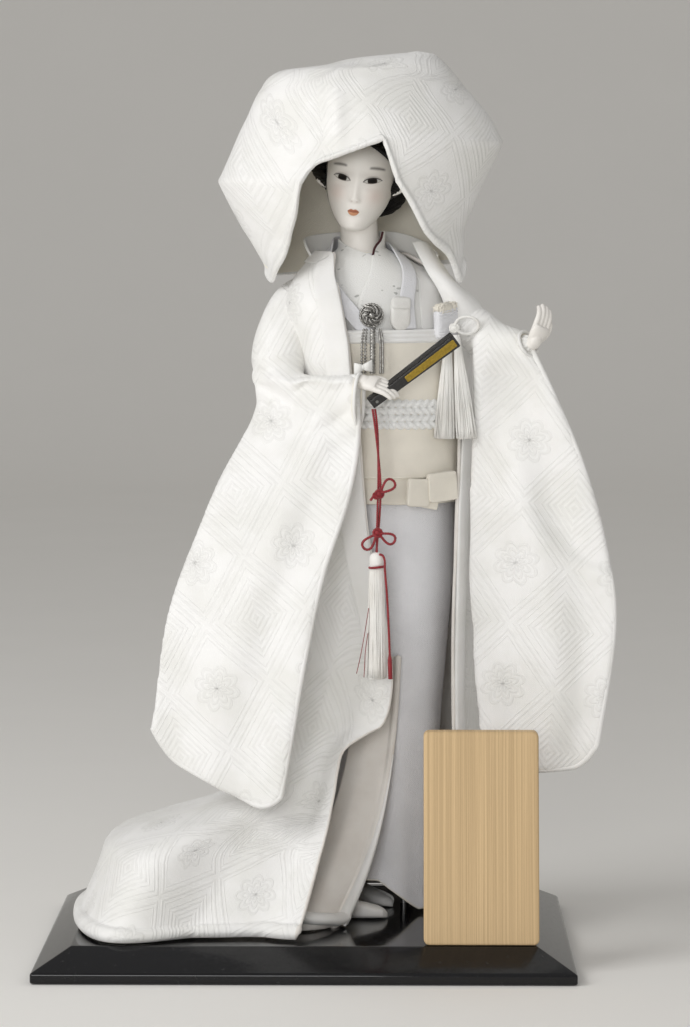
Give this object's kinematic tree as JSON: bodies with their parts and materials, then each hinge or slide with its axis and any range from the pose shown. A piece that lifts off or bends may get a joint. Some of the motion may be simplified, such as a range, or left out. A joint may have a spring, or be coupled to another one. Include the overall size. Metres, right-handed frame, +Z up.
{
  "type": "japanese doll",
  "caption": "Standing bride doll in a white hood, open robe and trailing train, holding a closed fan with a red tassel cord, on a black board with a bare name board.",
  "frame": {"origin": "middle of the display board's underside", "axes": "+Z up, the doll facing -Y, its train towards -X"},
  "size_m": [0.3243, 0.225, 0.5108],
  "materials": {
    "lacquer": "black gloss lacquer on wood",
    "steel": "plain steel",
    "wood": "bare fine-grained wood",
    "straw": "wound straw and cotton",
    "shell_white": "satin shell-white paint",
    "hair": "combed black silk hair",
    "damask": "white silk damask",
    "crepe": "white crepe",
    "ivory": "ivory woven silk",
    "white_silk": "plain white silk",
    "wadding": "cotton wadding",
    "silver": "tarnished silver plate",
    "red_silk": "crimson silk cord",
    "fan_lacquer": "black lacquered wood",
    "fan_leaf": "folded leaf with gold, on wooden ribs"
  },
  "bodies": {
    "doll": {"display_board": "lacquer", "stand_rod": "steel", "rod_washer": "steel", "rod_nut": "steel", "leg_core": "straw", "torso_core": "straw", "arm_right": "straw", "arm_left": "straw", "foot_right": "white_silk", "foot_left": "white_silk", "kimono": "crepe", "under_collar": "white_silk", "kimono_collar": "damask", "obi": "ivory", "obi_scarf": "white_silk", "obi_cord": "white_silk", "obi_bow": "ivory", "sash": "ivory", "sash_bow": "ivory", "robe": "damask", "robe_collar": "damask", "second_hem": "damask", "train_wadding": "wadding", "sleeve_right": "damask", "sleeve_left": "damask", "purse": "damask", "silver_ornament": "silver", "dagger_bag": "damask", "dagger_cord": "white_silk"},
    "head": {"head": "shell_white", "neck_peg": "wood", "wig": "hair", "hood": "damask"},
    "right_hand": {"hand_right": "shell_white", "wrist_wire_right": "steel", "fan_guard_front": "fan_lacquer", "fan_guard_rear": "fan_lacquer", "fan_ribs": "fan_leaf", "fan_pin": "steel"},
    "left_hand": {"hand_left": "shell_white", "wrist_wire_left": "steel"},
    "cord": {"fan_cord": "red_silk", "fan_bow_upper": "red_silk", "fan_bow_lower": "red_silk"},
    "tassel": {"fan_tassel": "white_silk", "fan_tassel_strand": "red_silk"},
    "right_dagger_tassel": {"dagger_tassel_right": "white_silk"},
    "left_dagger_tassel": {"dagger_tassel_left": "white_silk"},
    "chains": {"silver_chains": "silver", "chain_bow": "white_silk"},
    "name_board": {"name_board": "wood", "name_board_strut": "wood"}
  },
  "joints": [
    {"name": "head_turn", "type": "hinge", "parent": "doll", "child": "head", "pos_m": [0.03, 0.025, 0.4], "axis": [0, 0, 1], "range_deg": [-8, 8]},
    {"name": "right_wrist", "type": "hinge", "parent": "doll", "child": "right_hand", "pos_m": [0.025, -0.021, 0.322], "axis": [0.8174, -0.5736, -0.0535], "range_deg": [-10, 0]},
    {"name": "left_wrist", "type": "hinge", "parent": "doll", "child": "left_hand", "pos_m": [0.124, -0.01, 0.347], "axis": [0.7174, -0.6778, 0.161], "range_deg": [-15, 15]},
    {"name": "cord_swing", "type": "hinge", "parent": "right_hand", "child": "cord", "pos_m": [0.038, -0.0296, 0.3108], "axis": [0, 1, 0], "range_deg": [-10, 6]},
    {"name": "tassel_swing", "type": "hinge", "parent": "cord", "child": "tassel", "pos_m": [0.0396, -0.036, 0.229], "axis": [1, 0, 0], "range_deg": [-25, 0]},
    {"name": "right_dagger_tassel_swing", "type": "hinge", "parent": "doll", "child": "right_dagger_tassel", "pos_m": [0.0804, 0.0037, 0.3514], "axis": [1, 0, 0], "range_deg": [-25, 0]},
    {"name": "left_dagger_tassel_swing", "type": "hinge", "parent": "doll", "child": "left_dagger_tassel", "pos_m": [0.0852, 0.0037, 0.3514], "axis": [1, 0, 0], "range_deg": [-25, 0]},
    {"name": "chains_swing", "type": "hinge", "parent": "doll", "child": "chains", "pos_m": [0.037, -0.0135, 0.3544], "axis": [1, 0, 0], "range_deg": [-20, 0]},
    {"name": "name_board_lift", "type": "slide", "parent": "doll", "child": "name_board", "axis": [0, 0, 1], "range_m": [0, 0.06]}
  ]
}
